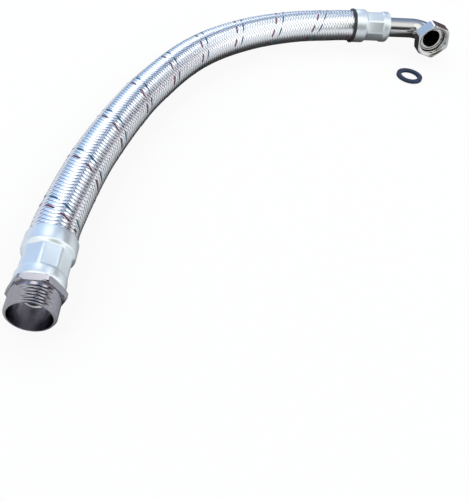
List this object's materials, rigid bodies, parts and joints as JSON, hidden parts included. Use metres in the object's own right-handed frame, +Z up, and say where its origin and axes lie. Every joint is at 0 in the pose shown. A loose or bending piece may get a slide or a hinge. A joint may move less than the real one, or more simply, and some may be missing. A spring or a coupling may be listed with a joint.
{
  "type": "pressure tank hose",
  "caption": "Flexible steel-braided water hose with crimped ferrules, a threaded nipple at one end, a swivel nut on an elbow at the other, and the nut's loose flat gasket.",
  "frame": {"origin": "on the floor plane, under the middle of the hose's bounding box", "axes": "+Z up from the floor the hose lies on, +Y from the male mouth up along the hose, +X towards the elbow end"},
  "size_m": [0.3976, 0.4648, 0.0418],
  "materials": {
    "hose_rubber": "matte black rubber",
    "braid_steel": "bright woven steel wire",
    "red_thread": "dull red thread",
    "blue_thread": "dull blue thread",
    "nickel_plate": "bright nickel plate",
    "ferrule_zinc": "pale satin zinc plate",
    "gasket_rubber": "dark navy rubber"
  },
  "bodies": {
    "hose": {"rubber_liner": "hose_rubber", "wire_braid": "braid_steel", "red_tracer": "red_thread", "blue_tracer": "blue_thread", "elbow_pipe": "nickel_plate", "male_nipple": "nickel_plate", "male_ferrule": "ferrule_zinc", "elbow_ferrule": "ferrule_zinc", "ferrule_ring": "hose_rubber", "flat_gasket": "gasket_rubber"},
    "nut": {"swivel_nut": "nickel_plate"}
  },
  "joints": [
    {"name": "nut_swivel", "type": "hinge", "parent": "hose", "child": "nut", "pos_m": [0.17969, 0.18678, 0.02256], "axis": [0.0829, -0.9966, 0], "continuous": true}
  ]
}
